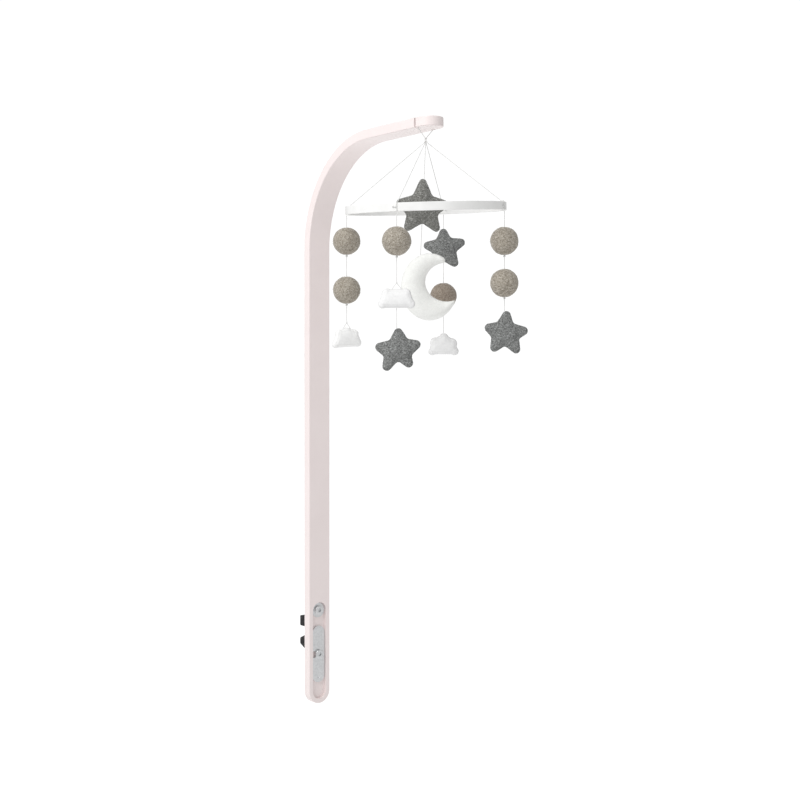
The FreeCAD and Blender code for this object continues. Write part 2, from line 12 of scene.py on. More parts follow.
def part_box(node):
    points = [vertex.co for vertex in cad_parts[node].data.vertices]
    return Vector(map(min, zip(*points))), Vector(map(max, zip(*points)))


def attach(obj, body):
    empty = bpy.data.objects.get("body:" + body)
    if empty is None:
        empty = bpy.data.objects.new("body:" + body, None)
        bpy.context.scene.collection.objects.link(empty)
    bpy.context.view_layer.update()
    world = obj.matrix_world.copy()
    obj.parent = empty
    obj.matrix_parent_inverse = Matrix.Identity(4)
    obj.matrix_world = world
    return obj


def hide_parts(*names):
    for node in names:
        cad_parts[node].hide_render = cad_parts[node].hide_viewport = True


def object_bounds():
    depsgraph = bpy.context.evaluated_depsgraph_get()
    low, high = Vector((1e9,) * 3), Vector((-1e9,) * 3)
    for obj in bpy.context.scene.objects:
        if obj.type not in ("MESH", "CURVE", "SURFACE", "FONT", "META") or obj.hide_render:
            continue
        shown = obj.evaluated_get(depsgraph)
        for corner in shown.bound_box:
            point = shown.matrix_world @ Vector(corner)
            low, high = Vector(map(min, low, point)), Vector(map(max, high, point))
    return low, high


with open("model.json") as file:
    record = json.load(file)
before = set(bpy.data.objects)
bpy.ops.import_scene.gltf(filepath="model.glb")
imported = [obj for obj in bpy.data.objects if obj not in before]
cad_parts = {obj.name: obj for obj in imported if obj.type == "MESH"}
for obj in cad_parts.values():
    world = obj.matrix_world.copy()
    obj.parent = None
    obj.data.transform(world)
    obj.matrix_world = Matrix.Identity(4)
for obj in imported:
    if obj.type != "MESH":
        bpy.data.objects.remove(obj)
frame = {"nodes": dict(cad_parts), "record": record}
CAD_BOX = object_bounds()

# A crib mobile: a pink bent-wood arm, a white ring and felt toys on twisted cords.
# Metres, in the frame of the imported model. Sizes of toys and cords are named in millimetres.

MM = 0.001
UP = Vector((0, 0, 1))
TOY_TURN = math.radians(52.6)  # the flat toys hang with their faces turned this far from the arm
JOINT_AT = {j["name"]: Vector(j.get("pos_m", (0, 0, 0))) for j in frame["record"]["behaviour"]["joints"]}
STRINGS = ("p1", "p2", "p3", "p4")
CORD_WIDE = 1.2 * MM


# ---- small tools ----
def new_object(name, mesh, material, slot, body, *nodes):
    """Puts a finished mesh into the scene on its body, in place of its CAD nodes."""
    piece = bpy.data.objects.new(name, mesh)
    bpy.context.scene.collection.objects.link(piece)
    mesh.materials.append(material)
    for face in mesh.polygons:
        face.use_smooth = True
    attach(piece, body)
    if nodes:
        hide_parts(*nodes)
    return piece


def mesh_from(name, points, faces):
    mesh = bpy.data.meshes.new(name)
    mesh.from_pydata([tuple(p) for p in points], [], faces)
    mesh.validate()
    mesh.update()
    return mesh


def spun_frames(line):
    """A pair of directions square to the line at each of its points, with as little twist as can be."""
    frames = []
    side = None
    for i, here in enumerate(line):
        along = (line[min(i + 1, len(line) - 1)] - line[max(i - 1, 0)]).normalized()
        if side is None:
            side = along.orthogonal().normalized()
        side = (side - along * side.dot(along)).normalized()
        frames.append((here, side, along.cross(side)))
    return frames


def tube(points, faces, frames, radius, sides, offset=0.0, pitch=0.0, phase=0.0):
    """Adds a closed tube that follows frames; offset and pitch wind it round their line."""
    first = len(points)
    run = 0.0
    last = None
    for here, a, b in frames:
        run += (here - last).length if last is not None else 0.0
        last = here
        turn = phase + (2 * math.pi * run / pitch if pitch else 0.0)
        middle = here + (a * math.cos(turn) + b * math.sin(turn)) * offset
        for k in range(sides):
            angle = 2 * math.pi * k / sides
            points.append(middle + (a * math.cos(angle) + b * math.sin(angle)) * radius)
    rings = len(frames)
    for i in range(rings - 1):
        for k in range(sides):
            low = first + i * sides
            here, there = low + k, low + (k + 1) % sides
            faces.append((here, there, there + sides, here + sides))
    faces.append(tuple(first + k for k in reversed(range(sides))))
    faces.append(tuple(first + (rings - 1) * sides + k for k in range(sides)))


def evenly(line, step):
    """The line again, with points about step apart."""
    lengths = [0.0]
    for a, b in zip(line, line[1:]):
        lengths.append(lengths[-1] + (b - a).length)
    count = max(2, round(lengths[-1] / step) + 1)
    found = []
    segment = 0
    for i in range(count):
        want = lengths[-1] * i / (count - 1)
        while segment < len(line) - 2 and lengths[segment + 1] < want:
            segment += 1
        span = lengths[segment + 1] - lengths[segment] or 1.0
        found.append(line[segment].lerp(line[segment + 1], min(1.0, (want - lengths[segment]) / span)))
    return found


def smooth_line(route):
    """The line of a NURBS spline whose control points are the route's points."""
    curve = bpy.data.curves.new("route", "CURVE")
    curve.dimensions = "3D"
    curve.resolution_u = 12
    spline = curve.splines.new("NURBS")
    spline.points.add(len(route) - 1)
    for point, place in zip(spline.points, route):
        point.co = (*place, 1.0)
    spline.order_u = 3
    spline.use_endpoint_u = True
    holder = bpy.data.objects.new("route", curve)
    mesh = bpy.data.meshes.new_from_object(holder)
    line = [v.co.copy() for v in mesh.vertices]
    bpy.data.meshes.remove(mesh)
    bpy.data.curves.remove(curve)
    return line


# ---- materials ----
class Nodes:
    """A material's node tree, with short calls for the nodes that these materials use."""

    def __init__(self, name):
        self.material = bpy.data.materials.new(name)
        self.material.use_nodes = True
        self.tree = self.material.node_tree
        self.shader = self.tree.nodes["Principled BSDF"]

    def add(self, kind, **inputs):
        node = self.tree.nodes.new(kind)
        for key, value in inputs.items():
            self.set(node, key.replace("_", " "), value)
        return node

    def set(self, node, key, value):
        socket = node.inputs[key]
        if isinstance(value, bpy.types.NodeSocket):
            self.tree.links.new(value, socket)
        else:
            socket.default_value = value

    def place(self, scale=(1, 1, 1)):
        """Object coordinates in millimetres, stretched by scale."""
        where = self.tree.nodes.new("ShaderNodeTexCoord")
        mapping = self.add("ShaderNodeMapping", Vector=where.outputs["Object"])
        mapping.inputs["Scale"].default_value = [1000.0 * s for s in scale]
        return mapping.outputs["Vector"]

    def seam(self):
        """How near to a sewn seam a point is, from 0 to 1, weighted by how much darker the seam is painted.
        """
        node = self.tree.nodes.new("ShaderNodeAttribute")
        node.attribute_name = "seam"
        return node.outputs["Fac"]

    def noise(self, vector, size, detail=3.0, rough=0.55, warp=0.0):
        """Noise whose features are about size millimetres across."""
        node = self.add("ShaderNodeTexNoise", Vector=vector, Scale=1.0 / size, Detail=detail, Roughness=rough,
                        Distortion=warp)
        return node.outputs["Fac"]

    def ramp(self, value, low, high, low_out=0.0, high_out=1.0):
        node = self.add("ShaderNodeMapRange", Value=value)
        for key, number in (("From Min", low), ("From Max", high), ("To Min", low_out), ("To Max", high_out)):
            node.inputs[key].default_value = number
        return node.outputs["Result"]

    def math(self, what, a, b=0.0):
        node = self.tree.nodes.new("ShaderNodeMath")
        node.operation = what
        self.set(node, 0, a)
        self.set(node, 1, b)
        return node.outputs[0]

    def mix(self, share, a, b):
        node = self.tree.nodes.new("ShaderNodeMix")
        node.data_type = "RGBA"
        for index, value in ((0, share), (6, a), (7, b)):
            if isinstance(value, bpy.types.NodeSocket):
                self.tree.links.new(value, node.inputs[index])
            else:
                node.inputs[index].default_value = value if index == 0 else (*value, 1.0)
        return node.outputs[2]

    def bump(self, height, deep):
        """A bump that is deep millimetres from its lowest to its highest."""
        node = self.add("ShaderNodeBump", Height=height, Strength=1.0, Distance=deep * MM)
        return node.outputs["Normal"]

    def finish(self, color, rough, normal=None, metal=0.0, sheen=0.0, sheen_rough=0.5, coat=0.0,
               specular=0.5):
        values = {"Base Color": color if isinstance(color, bpy.types.NodeSocket) else (*color, 1.0),
                  "Roughness": rough, "Metallic": metal, "Sheen Weight": sheen,
                  "Sheen Roughness": sheen_rough, "Coat Weight": coat, "Specular IOR Level": specular}
        for key, value in values.items():
            self.set(self.shader, key, value)
        if normal is not None:
            self.set(self.shader, "Normal", normal)
        return self.material


MARL = 2.1  # the size of the wool's darker and lighter patches, in millimetres
FIBRE = 0.4  # the width of its fibres, in millimetres
FLECK = 0.8  # how strongly its light flecks show


def felt_material(name, dark, middle, light, deep=0.25, pressed_and_painted_shade=0.5):
    """Needled wool: a marl of darker and lighter wool, crossed fibres on it and a soft halo of sheen.

    deep is the height of its relief in millimetres, and the last argument is how much darker its seams are
    painted: partly felt pressed flat there, partly painted shade in the seam's crease."""
    n = Nodes(name)
    at = n.place()
    cross = n.noise(n.place((1.0, 0.2, 0.2)), FIBRE, 2.0, 0.6, 1.2)
    down = n.noise(n.place((0.2, 1.0, 0.2)), FIBRE, 2.0, 0.6, 1.2)
    up = n.noise(n.place((0.25, 0.25, 1.0)), FIBRE, 2.0, 0.6, 1.2)
    fibres = n.math("MAXIMUM", n.math("MAXIMUM", cross, down), up)
    blend = n.noise(at, MARL, 3.0, 0.65, 0.8)
    streaks = n.noise(n.place((0.8, 0.8, 1.4)), MARL, 2.0, 0.7, 1.2)
    cloudy = n.noise(at, 9.0, 2.0)
    color = n.mix(n.ramp(blend, 0.44, 0.54), dark, middle)
    color = n.mix(n.math("MULTIPLY", n.ramp(streaks, 0.52, 0.6), FLECK), color, light)
    color = n.mix(n.ramp(fibres, 0.62, 0.8, 0.0, 0.6), color, light)
    color = n.mix(n.ramp(cloudy, 0.35, 0.7, 0.0, 0.2), color, tuple(0.84 * c for c in middle))
    # Painted shade: near the seams the colour turns darker, partly for pressed felt and partly for the shade
    # that gathers in the seam.
    color = n.mix(n.math("MULTIPLY", n.seam(), pressed_and_painted_shade), color, tuple(0.7 * c for c in dark))
    height = n.math("ADD", n.math("MULTIPLY", fibres, 0.7), n.math("MULTIPLY", blend, 0.9))
    normal = n.bump(height, deep)
    rough = n.ramp(blend, 0.2, 0.8, 0.8, 0.98)
    return n.finish(color, rough, normal, sheen=0.15, sheen_rough=0.6, specular=0.15)


MATERIALS = {
    "taupe": felt_material("taupe_felt", (0.19, 0.165, 0.13), (0.36, 0.32, 0.265), (0.62, 0.58, 0.51)),
    "brown": felt_material("brown_taupe_felt", (0.18, 0.145, 0.115), (0.31, 0.255, 0.205),
                           (0.47, 0.41, 0.345)),
    "grey": felt_material("grey_marl_felt", (0.08, 0.082, 0.08), (0.19, 0.195, 0.19), (0.44, 0.45, 0.445)),
    "umber": felt_material("dark_marl_felt", (0.09, 0.09, 0.082), (0.2, 0.2, 0.185), (0.44, 0.44, 0.42)),
    "white": felt_material("white_felt", (0.87, 0.87, 0.87), (0.90, 0.90, 0.90), (0.93, 0.93, 0.93),
                           deep=0.12, pressed_and_painted_shade=0.8),
    # Painted light: a brighter copy of the white felt, which lifts the shade on a cloud's turned face.
    "painted_lit_white": felt_material("painted_lit_white_felt", (0.945, 0.945, 0.94), (0.965, 0.965, 0.96), (0.98, 0.98, 0.975),
                          deep=0.12, pressed_and_painted_shade=0.8),
    "cream": felt_material("cream_wool", (0.88, 0.885, 0.86), (0.93, 0.935, 0.91), (0.96, 0.965, 0.945),
                           deep=0.12, pressed_and_painted_shade=0.45),
}


def cord_material():
    n = Nodes("twisted_cord")
    at = n.place()
    fibre = n.noise(at, 0.25, 3.0, 0.6, 0.5)
    color = n.mix(n.ramp(fibre, 0.3, 0.7), (0.70, 0.70, 0.69), (0.82, 0.82, 0.81))
    return n.finish(color, n.ramp(fibre, 0.2, 0.8, 0.7, 0.9), n.bump(fibre, 0.06), sheen=0.2, specular=0.2)


def paint_material():
    """Satin paint over laminated wood: orange peel, and the faintest veneer lines."""
    n = Nodes("pink_satin_paint")
    at = n.place()
    peel = n.noise(at, 1.6, 3.0, 0.5)
    slow = n.noise(at, 38.0, 2.0)
    grain = n.noise(n.place((1.0, 1.0, 0.05)), 1.1, 2.0, 0.6)
    color = n.mix(n.ramp(slow, 0.3, 0.7), (0.865, 0.775, 0.765), (0.885, 0.797, 0.787))
    height = n.math("ADD", n.math("MULTIPLY", peel, 0.6), n.math("MULTIPLY", grain, 0.5))
    rough = n.ramp(n.math("ADD", peel, slow), 0.6, 1.4, 0.36, 0.5)
    return n.finish(color, rough, n.bump(height, 0.035), coat=0.15, specular=0.45)


def ring_material():
    n = Nodes("white_satin_ring")
    at = n.place()
    peel = n.noise(at, 1.2, 3.0)
    slow = n.noise(at, 22.0, 2.0)
    color = n.mix(n.ramp(slow, 0.3, 0.7), (0.84, 0.84, 0.83), (0.9, 0.9, 0.89))
    return n.finish(color, n.ramp(peel, 0.3, 0.7, 0.32, 0.46), n.bump(peel, 0.03), specular=0.45)


def zinc_material():
    """Bright zinc plate: a faint brushed direction and small clouded patches."""
    n = Nodes("zinc_plate")
    at = n.place()
    brushed = n.noise(n.place((1.0, 3.0, 0.12)), 0.5, 3.0, 0.7)
    patches = n.noise(at, 3.5, 4.0, 0.7)
    color = n.mix(n.ramp(patches, 0.3, 0.7), (0.62, 0.63, 0.64), (0.8, 0.81, 0.82))
    rough = n.ramp(n.math("ADD", patches, n.math("MULTIPLY", brushed, 0.5)), 0.5, 1.1, 0.28, 0.5)
    return n.finish(color, rough, n.bump(brushed, 0.012), metal=1.0)


def brass_material():
    n = Nodes("turned_brass")
    rings = n.noise(n.place((6.0, 0.3, 0.3)), 0.6, 2.0)
    color = n.mix(n.ramp(rings, 0.3, 0.7), (0.5, 0.35, 0.13), (0.66, 0.5, 0.22))
    return n.finish(color, n.ramp(rings, 0.3, 0.7, 0.25, 0.45), n.bump(rings, 0.01), metal=1.0)


def rubber_material():
    n = Nodes("black_rubber")
    at = n.place()
    grain = n.noise(at, 0.45, 3.0, 0.6)
    dust = n.noise(at, 6.0, 3.0, 0.6)
    color = n.mix(n.ramp(dust, 0.45, 0.8), (0.012, 0.012, 0.013), (0.035, 0.034, 0.034))
    return n.finish(color, n.ramp(grain, 0.3, 0.7, 0.6, 0.8), n.bump(grain, 0.05), specular=0.35)


MATERIALS["cord"] = cord_material()
MATERIALS["paint"] = paint_material()
MATERIALS["ring"] = ring_material()
MATERIALS["zinc"] = zinc_material()
MATERIALS["brass"] = brass_material()
MATERIALS["rubber"] = rubber_material()

CAD_FINISH = {
    "arm": "paint", "ring": "ring", "upper_rail_pad": "rubber", "lower_rail_pad": "rubber",
    "upper_washer": "zinc", "clamp_plate": "zinc", "upper_bolt": "zinc", "lower_bolt": "zinc",
    "upper_insert": "brass", "lower_insert": "brass",
}


def dress_cad():
    """Gives each CAD node that stays in view its own finish."""
    for node, finish in CAD_FINISH.items():
        mesh = frame["nodes"][node].data
        mesh.materials.clear()
        mesh.materials.append(MATERIALS[finish])


# ---- cords and knots ----
def twisted(points, faces, line):
    """Adds three plies, twisted round each other along a line."""
    ply = CORD_WIDE / 2 * 0.52
    frames = spun_frames(evenly(line, CORD_WIDE * 0.47))
    for k in range(3):
        tube(points, faces, frames, ply, 6, CORD_WIDE / 2 - ply, CORD_WIDE * 4.2, 2 * math.pi * k / 3)


def rope(name, route, body, node):
    """A twisted cord along a route."""
    line = smooth_line(route)
    points, faces = [], []
    twisted(points, faces, line)
    piece = new_object(name, mesh_from(name, points, faces), MATERIALS["cord"], "cord", body, node)


def straight(start, end):
    """A route with four evenly spaced points on one straight stretch."""
    return [start.lerp(end, i / 3) for i in range(4)]


def knot_line(centre, radius):
    """An overhand knot pulled tight, as a closed line."""
    line = []
    for i in range(61):
        t = 2 * math.pi * i / 60
        x = math.sin(t) + 2 * math.sin(2 * t)
        y = math.cos(t) - 2 * math.cos(2 * t)
        line.append(centre + Vector((x * 0.33, y * 0.33, -math.sin(3 * t) * 0.64)) * radius * 0.72)
    return line


def knot_mesh(name, centres, radius):
    points, faces = [], []
    for centre in centres:
        tube(points, faces, spun_frames(knot_line(centre, radius)), radius * 0.36, 8)
    return mesh_from(name, points, faces)


# ---- felt balls ----
FUZZ_COUNT = 420  # loose wool ends on each felt piece
BALL_FUZZ = 1.8  # how long they are on a ball, in millimetres
TOY_FUZZ = 1.4  # and on a flat toy


def add_fuzz(piece, wool, slot, body, long, seed):
    """Loose wool ends that stand a little off a felt piece's skin. long is in millimetres."""
    chance = random.Random(seed)
    mesh = piece.data
    points, faces = [], []
    for _ in range(FUZZ_COUNT):
        spot = mesh.polygons[chance.randrange(len(mesh.polygons))]
        out = spot.normal.copy()
        along = out.orthogonal().normalized()
        along.rotate(Quaternion(out, chance.uniform(0, 2 * math.pi)))
        reach = long * chance.uniform(0.5, 1.2) * MM
        rise = chance.uniform(0.15, 0.45)
        start = spot.center
        line = [start - out * 0.1 * MM, start + (along * 0.4 + out * rise) * reach,
                start + (along * 0.8 + out * rise * 1.3) * reach, start + (along * 1.1 + out * rise) * reach]
        tube(points, faces, spun_frames(line), 0.05 * MM, 3)
    name = "fuzz_" + piece.name
    new_object(name, mesh_from(name, points, faces), MATERIALS[wool], slot, body)


def ball_mesh(name, centre, radius, seed):
    """A rolled wool ball: not quite round, with a fibrous skin and a dimple where the cord runs in."""
    mesh = bpy.data.meshes.new(name)
    work = bmesh.new()
    bmesh.ops.create_icosphere(work, subdivisions=6, radius=1.0)
    shift = Vector((seed * 7.3, seed * 3.1, seed * 5.7))
    for vert in work.verts:
        out = vert.co.normalized()
        lumps = noise.noise(out * 1.6 + shift) * 0.022 + noise.noise(out * 4.0 + shift) * 0.010
        fuzz = noise.noise(out * 14.0 + shift) * 0.008 + noise.noise(out * 34.0 + shift) * 0.007
        aside = math.hypot(out.x, out.y)
        dimple = 0.075 * math.exp(-((aside / 0.1) ** 2))
        vert.co = centre + out * radius * (0.985 + lumps + fuzz - dimple)
    work.to_mesh(mesh)
    work.free()
    return mesh


def make_balls():
    for name in STRINGS:
        for number in (1, 2):
            node = f"ball_{name}_{number}"
            if node not in frame["nodes"]:
                continue
            low, high = map(Vector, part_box(node))
            seed = int(name[1]) * 2 + number
            mesh = ball_mesh("felt_" + node, (low + high) / 2, (high.z - low.z) / 2, seed)
            wool = "brown" if name == "p3" else "taupe"
            body = "string_" + name
            ball = new_object("felt_" + node, mesh, MATERIALS[wool], "taupe_felt", body, node)
            add_fuzz(ball, wool, "taupe_felt", body, BALL_FUZZ, seed)


# ---- sewn and stuffed toys ----
def rounded(corners, radii, step):
    """A closed outline with an arc at each corner, and points about step apart."""
    outline = []
    count = len(corners)
    for i in range(count):
        here, before, after = corners[i], corners[i - 1], corners[(i + 1) % count]
        a, b = (before - here).normalized(), (after - here).normalized()
        half = a.angle(b) / 2
        start = here + a * (radii[i] / math.tan(half))
        middle = here + (a + b).normalized() * (radii[i] / math.sin(half))
        sweep = math.pi - 2 * half
        turn = 1 if a.cross(b) < 0 else -1
        steps = max(2, round(radii[i] * sweep / step))
        arm = start - middle
        for k in range(steps + 1):
            angle = turn * sweep * k / steps
            c, s = math.cos(angle), math.sin(angle)
            outline.append(middle + Vector((arm.x * c - arm.y * s, arm.x * s + arm.y * c)))
    return resampled(outline, step)


def resampled(outline, step):
    """A closed outline with evenly spaced points."""
    closed = [Vector((p.x, p.y, 0)) for p in outline] + [Vector((outline[0].x, outline[0].y, 0))]
    return [Vector((p.x, p.y)) for p in evenly(closed, step)[:-1]]


# Each star's arms: the direction of each, in degrees, and its length, and then the direction and
# distance of the inner corner after it. The lengths are shares of the star's radius, and so are the
# radii of its round tips and inner corners.
STAR_ARMS = {
    "star_p2": ((16, 1.05, 46, 0.54), (87, 0.91, 127, 0.42), (170, 0.95, 206, 0.51), (242, 1.18, 277, 0.4),
                (308, 1.05, 340, 0.56)),
    "star_p3": ((17, 1.12, 54, 0.48), (91, 0.93, 131, 0.44), (173, 1.05, 205, 0.47), (236, 0.89, 270, 0.53),
                (306, 1.09, 343, 0.52)),
    "star_p4": ((6, 1.08, 45, 0.47), (83, 1.01, 123, 0.46), (162, 0.9, 199, 0.5), (237, 1.0, 273, 0.49),
                (303, 1.15, 337, 0.58)),
    "centre_star": ((12, 1.0, 50, 0.49), (89, 1.02, 130, 0.49), (170, 1.0, 200, 0.54), (230, 1.03, 269, 0.43),
                    (308, 1.0, 340, 0.51)),
}
STAR_TIP_SHARE = {"star_p2": 0.16, "star_p3": 0.16, "star_p4": 0.16, "centre_star": 0.13}
STAR_CROTCH_SHARE = 0.118
SMALL_STAR = 42.5


def spoke(angle_deg, reach):
    angle = math.radians(angle_deg)
    return Vector((math.cos(angle), math.sin(angle))) * reach


def star_outline(node, star_r, step):
    """A hand-cut star with round tips and soft inner corners."""
    corners, radii = [], []
    for angle, long, waist_angle, waist in STAR_ARMS[node]:
        corners += [spoke(angle, star_r * long), spoke(waist_angle, star_r * waist)]
        radii += [STAR_TIP_SHARE[node] * star_r, STAR_CROTCH_SHARE * star_r]
    return rounded(corners, radii, step)


# Each cloud's lobes, as across, up and radius about its middle, in order round its edge.
CLOUD_LOBES = {
    "cloud_p1": ((-19.5, -10, 6.5), (-12.5, 5, 8.5), (0, 7, 9.5), (12.5, 5.5, 8.3), (19.3, -7.5, 6.8)),
    "cloud_p2": ((-20.5, -8, 7), (-14, 6.3, 8.5), (13, 6.3, 8.5), (20.5, -8, 7)),
    "cloud_p3": ((-18.5, -12, 6.5), (-13, 2.5, 9), (0.5, 9.5, 8.5), (13, 0.5, 9.5), (18, -11.5, 7)),
}
# How deep the valleys between a cloud's lobes are.
CLOUD_VALLEY = {"cloud_p1": 0.8, "cloud_p2": 0.8, "cloud_p3": 1.6}


def lobe_reach(eye, ray, lobe):
    """How far a ray from the eye goes before it leaves a lobe for good."""
    x, z, r = lobe
    to = Vector((x, z)) - eye
    near = to.dot(ray)
    gap = r * r - (to.length_squared - near * near)
    return near + math.sqrt(gap) if gap > 0 else 0.0


def edge_reach(eye, ray, a, b):
    """How far a ray from the eye goes to the straight line from a to b, if it meets it."""
    along = b - a
    square = ray.cross(along)
    if abs(square) < 1e-9:
        return 0.0
    far = (a - eye).cross(along) / square
    share = (a - eye).cross(ray) / square
    return far if 0 <= share <= 1 else 0.0


def cloud_outline(node, step):
    """The edge of a cloud's round lobes and of the bars that join each to the next."""
    lobes = CLOUD_LOBES[node]
    valley = CLOUD_VALLEY[node]
    edges = []
    for one, two in zip(lobes, lobes[1:] + lobes[:1]):
        a, b = Vector(one[:2]), Vector(two[:2])
        square = Vector((-(b - a).y, (b - a).x)).normalized()
        edges.append((a + square * (one[2] - valley), b + square * (two[2] - valley)))
    eye = Vector((0, -3))  # a point well inside every cloud
    outline = []
    for i in range(360):
        ray = spoke(i, 1.0)
        reach = max(lobe_reach(eye, ray, lobe) for lobe in lobes)
        outline.append(eye + ray * max([reach] + [edge_reach(eye, ray, a, b) for a, b in edges]))
    return resampled(outline, step)


def oval_arc(middle, half_wide, half_tall, first_x, last_x, turn):
    """Points round an oval's left side, from one x on its upper or lower half to another x on the other.

    turn is 1 to run down from the upper half, and -1 to run up from the lower half."""
    start = math.acos((first_x - middle.x) / half_wide)
    end = 2 * math.pi - math.acos((last_x - middle.x) / half_wide)
    angles = [start + (end - start) * k / 180 for k in range(181)]
    return [middle + Vector((math.cos(a) * half_wide, turn * math.sin(a) * half_tall)) for a in angles]


def moon_outline(step):
    """A crescent: a tall oval with an oval bite out of its side, and two blunt horns."""
    upper_tip, lower_tip = 24.5, 39.5
    outer = oval_arc(Vector((0, 0)), 44.3, 52.3, upper_tip, lower_tip, 1)
    inner = oval_arc(Vector((26.7, 7.5)), 33.2, 29.8, lower_tip, upper_tip, -1)
    return resampled(softened(resampled(outer + inner, 0.5), 14), step)


def softened(outline, rounds):
    """The outline with its sharpest corners eased."""
    for _ in range(rounds):
        count = len(outline)
        outline = [(outline[i - 1] + outline[i] * 2 + outline[(i + 1) % count]) / 4 for i in range(count)]
    return outline


def inside_grid(outline, step):
    """Points on a triangular grid inside an outline, clear of its edge."""
    xs, ys = [p.x for p in outline], [p.y for p in outline]
    tree = KDTree(len(outline))
    for i, p in enumerate(outline):
        tree.insert((p.x, p.y, 0), i)
    tree.balance()
    found = []
    rows = int((max(ys) - min(ys)) / (step * 0.87)) + 1
    columns = int((max(xs) - min(xs)) / step) + 2
    for row in range(rows):
        y = min(ys) + row * step * 0.87
        for column in range(columns):
            x = min(xs) + (column + 0.5 * (row % 2)) * step
            if within(outline, x, y) and tree.find((x, y, 0))[2] > step * 0.62:
                found.append(Vector((x, y)))
    return found


def within(outline, x, y):
    """Is a point inside the outline?"""
    inside = False
    for a, b in zip(outline, outline[1:] + outline[:1]):
        if (a.y > y) != (b.y > y) and x < a.x + (b.x - a.x) * (y - a.y) / (b.y - a.y):
            inside = not inside
    return inside


START_RISE = 1.6  # how far a panel's middle stands off the seam's plane before it is blown up
START_RUN = 4.0  # how far from the seam it takes to get there


def two_panels(outline, step):
    """Two matching panels that share the seam at their edge: points in millimetres, and faces."""
    grid = inside_grid(outline, step)
    flat = outline + grid
    seam = len(outline)
    ring = [(i, (i + 1) % seam) for i in range(seam)]
    placed, _, triangles, _, _, _ = delaunay_2d_cdt(flat, ring, [], 1, 1e-4)
    tree = KDTree(seam)
    for i, p in enumerate(outline):
        tree.insert((p.x, p.y, 0), i)
    tree.balance()
    points = [Vector((p.x, 0.0, p.y)) for p in placed]
    back = list(range(len(placed)))
    for i in range(seam, len(placed)):
        p = placed[i]
        rise = START_RISE * (1 - math.exp(-tree.find((p.x, p.y, 0))[2] / START_RUN))
        points[i].y = -rise
        back[i] = len(points)
        points.append(Vector((p.x, rise, p.y)))
    faces = [tuple(t) for t in triangles]
    faces = [t if facing_front(points, t) else t[::-1] for t in faces]
    faces += [tuple(back[i] for i in reversed(t)) for t in faces]
    return points, faces, seam


def facing_front(points, triangle):
    a, b, c = (points[i] for i in triangle)
    return (b - a).cross(c - a).y < 0


SIM_SCALE = 0.02  # a toy's millimetre in the simulation's metres
SIM_FRAMES = 20


def inflate(points, faces, seam, slack):
    """Blows the two panels up as cloth, held at their seam, and gives the points back in millimetres.

    slack is how much larger the felt is than its outline, which leaves it free to crown and pucker."""
    mesh = mesh_from("inflating", [p * SIM_SCALE for p in points], faces)
    toy = bpy.data.objects.new("inflating", mesh)
    bpy.context.scene.collection.objects.link(toy)
    toy.vertex_groups.new(name="seam").add(range(seam), 1.0, "REPLACE")
    cloth = toy.modifiers.new("cloth", "CLOTH")
    cloth.settings.vertex_group_mass = "seam"
    cloth.settings.shrink_min = -slack
    cloth.settings.quality = 8
    cloth.settings.mass = 0.2
    cloth.settings.tension_stiffness = 60
    cloth.settings.compression_stiffness = 60
    cloth.settings.shear_stiffness = 20
    cloth.settings.bending_stiffness = 3.0
    cloth.settings.air_damping = 3
    cloth.settings.use_pressure = True
    cloth.settings.uniform_pressure_force = 6.0
    cloth.settings.effector_weights.gravity = 0
    cloth.point_cache.frame_start = 1
    cloth.point_cache.frame_end = SIM_FRAMES
    for number in range(1, SIM_FRAMES + 1):
        bpy.context.scene.frame_set(number)
    blown = toy.evaluated_get(bpy.context.evaluated_depsgraph_get()).to_mesh()
    result = [v.co / SIM_SCALE for v in blown.vertices]
    bpy.data.objects.remove(toy)
    bpy.data.meshes.remove(mesh)
    bpy.context.scene.frame_set(1)
    return result


def fitted(points, thick, crown):
    """The blown toy, brought to its own thickness. A crown below 1 leaves its faces flatter."""
    low, high = min(p.y for p in points), max(p.y for p in points)
    middle = (low + high) / 2
    shares = [(p.y - middle) / (high - middle) for p in points]
    depths = [math.copysign(abs(share) ** crown, share) * thick / 2 for share in shares]
    return [Vector((p.x, depth, p.z)) for p, depth in zip(points, depths)]


def eased(points, faces, rounds):
    """Evens out the finest wrinkles in how far the skin stands off the seam's plane."""
    near = [set() for _ in points]
    for face in faces:
        for i in face:
            near[i].update(face)
    for _ in range(rounds):
        depths = [sum(points[k].y for k in around) / len(around) for around in near]
        points = [Vector((p.x, depth, p.z)) for p, depth in zip(points, depths)]
    return points


SKIN_SIZE = 0.9  # how wide the lumps in a toy's skin are, in millimetres
SKIN_DEEP = 0.09  # and how high


def felted(mesh, seed):
    """Lifts and lowers a mesh's skin a little, as wool does."""
    shift = Vector((seed * 3.7, seed * 5.3, seed * 2.9))
    moved = []
    for vert in mesh.vertices:
        at = vert.co / MM
        lift = noise.noise(at / (SKIN_SIZE * 4) + shift) * 1.4 + noise.noise(at / SKIN_SIZE + shift)
        moved.append(vert.co + vert.normal * lift * SKIN_DEEP * MM)
    for vert, place in zip(mesh.vertices, moved):
        vert.co = place
    mesh.update()


def mark_seam(mesh, edge, sewn):
    """Marks a toy's seam, and its row of stitches inset from the edge. All in millimetres.

    Each line of sewing has its inset, its width, how much darker it is painted, as pressed felt and as
    painted shade, and how deep it pulls the skin in."""
    loop = evenly(edge + edge[:1], 0.35 * MM)
    tree = KDTree(len(loop))
    for i, place in enumerate(loop):
        tree.insert(place, i)
    tree.balance()
    near = mesh.attributes.new("seam", "FLOAT", "POINT")
    sunk = []
    for vert in mesh.vertices:
        off = tree.find(vert.co)[2] / MM
        pull = [(strong * math.exp(-(((off - inset) / wide) ** 2)), deep)
                for inset, wide, strong, deep in sewn]
        # The seam attribute sets how much darker the felt is painted by its seams: pressed felt and painted
        # shade.
        near.data[vert.index].value = max(share for share, _ in pull)
        sunk.append(vert.co - vert.normal * sum(share * deep for share, deep in pull) * MM)
    for vert, place in zip(mesh.vertices, sunk):
        vert.co = place
    mesh.update()


